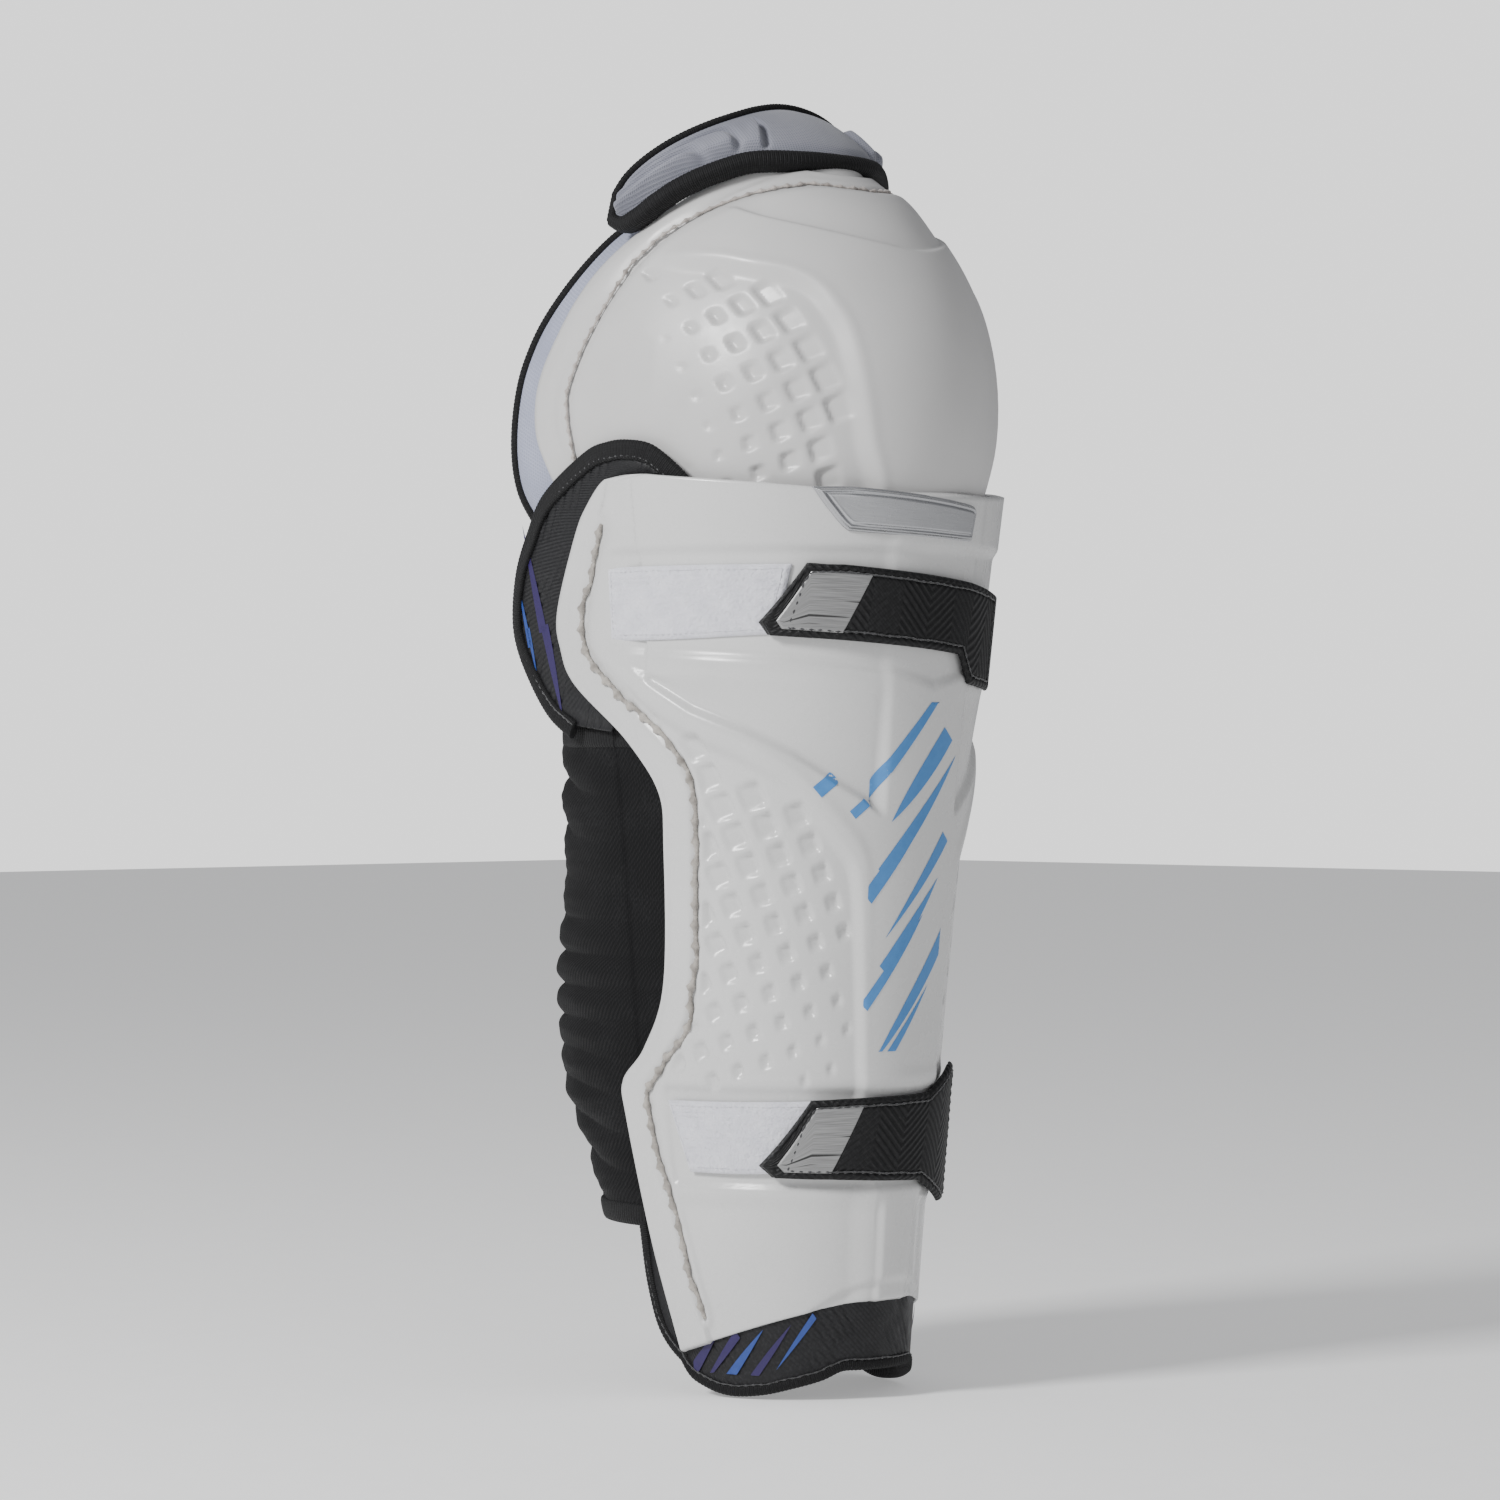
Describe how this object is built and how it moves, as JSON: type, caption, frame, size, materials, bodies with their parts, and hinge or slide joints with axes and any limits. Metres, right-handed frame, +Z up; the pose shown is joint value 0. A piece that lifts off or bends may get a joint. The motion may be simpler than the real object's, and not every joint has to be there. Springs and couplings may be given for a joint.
{
  "type": "hockey shin guard",
  "caption": "Right-leg ice hockey shin guard with a white plastic shin shell and knee cap, padded liner, thigh pad, stretch calf wrap and two hook-and-loop straps.",
  "frame": {"origin": "on the axis of the leg channel, level with the ankle", "axes": "+Z up along the shin to the knee, -Y to the front, -X to the outer side of the right leg"},
  "size_m": [0.148, 0.1815, 0.4425],
  "materials": {
    "shell_white": "satin moulded plastic with pressed relief",
    "cap_white": "satin moulded plastic with dimples",
    "nameplate_silver": "brushed metallised plate",
    "loop_white": "short looped pile",
    "liner_black": "ribbed knit with printed slashes",
    "binding_black": "ribbed binding tape",
    "pad_grey": "brushed lining cloth over foam",
    "wing_grey": "fine woven cloth",
    "thigh_grey": "moulded mesh cloth",
    "plate_plastic": "thin insert sheet",
    "wrap_black": "stretch twill",
    "strap_black": "embossed strap cloth",
    "tip_silver": "silver foil film",
    "elastic_black": "woven elastic",
    "hook_black": "hook tape"
  },
  "bodies": {
    "shin": {"shin_shell": "shell_white", "nameplate": "nameplate_silver", "upper_loop_patch": "loop_white", "lower_loop_patch": "loop_white", "shin_liner": "pad_grey", "liner_wing_lateral": "liner_black", "liner_wing_medial": "liner_black", "wing_binding_lateral": "binding_black", "wing_binding_medial": "binding_black", "ankle_panel": "liner_black", "ankle_binding": "binding_black", "shin_pad_center": "pad_grey", "shin_pad_lateral": "pad_grey", "shin_pad_medial": "pad_grey", "wrap_anchor": "wrap_black"},
    "knee": {"knee_cap_shell": "cap_white", "knee_cup_liner": "pad_grey", "knee_wing_lateral": "wing_grey", "knee_wing_medial": "wing_grey", "knee_binding_lateral": "binding_black", "knee_binding_medial": "binding_black", "knee_ring_pad": "pad_grey"},
    "thigh": {"thigh_cover": "thigh_grey", "thigh_plate": "plate_plastic", "thigh_foam": "pad_grey", "thigh_binding": "binding_black"},
    "calf_wrap": {"calf_wrap": "wrap_black", "upper_yoke": "elastic_black", "lower_yoke": "elastic_black"},
    "upper_strap": {"upper_strap_tip": "tip_silver", "upper_strap_tab": "strap_black", "upper_hook_pad": "hook_black", "upper_strap_elastic": "elastic_black"},
    "lower_strap": {"lower_strap_tip": "tip_silver", "lower_strap_tab": "strap_black", "lower_hook_pad": "hook_black", "lower_strap_elastic": "elastic_black"}
  },
  "joints": [
    {"name": "knee_flex", "type": "hinge", "parent": "shin", "child": "knee", "pos_m": [0, 0.004, 0.338], "axis": [-1, 0, 0], "range_deg": [0, 25]},
    {"name": "thigh_flex", "type": "hinge", "parent": "knee", "child": "thigh", "pos_m": [0, 0.014, 0.412], "axis": [-1, 0, 0], "range_deg": [0, 20]},
    {"name": "wrap_open", "type": "hinge", "parent": "shin", "child": "calf_wrap", "pos_m": [-0.0405, 0.0558, 0.14], "axis": [-0.0357, 0, 0.9994], "range_deg": [0, 35]},
    {"name": "upper_strap_peel", "type": "hinge", "parent": "calf_wrap", "child": "upper_strap", "pos_m": [0.0656, -0.03035, 0.262], "axis": [0, 0, 1], "range_deg": [0, 100]},
    {"name": "lower_strap_peel", "type": "hinge", "parent": "calf_wrap", "child": "lower_strap", "pos_m": [0.0468, -0.03035, 0.092], "axis": [0, 0, 1], "range_deg": [0, 100]}
  ],
  "couplings": [
    {"joint": "lower_strap_peel", "follows": "upper_strap_peel", "ratio": 1},
    {"joint": "wrap_open", "follows": "upper_strap_peel", "ratio": 0.35}
  ]
}
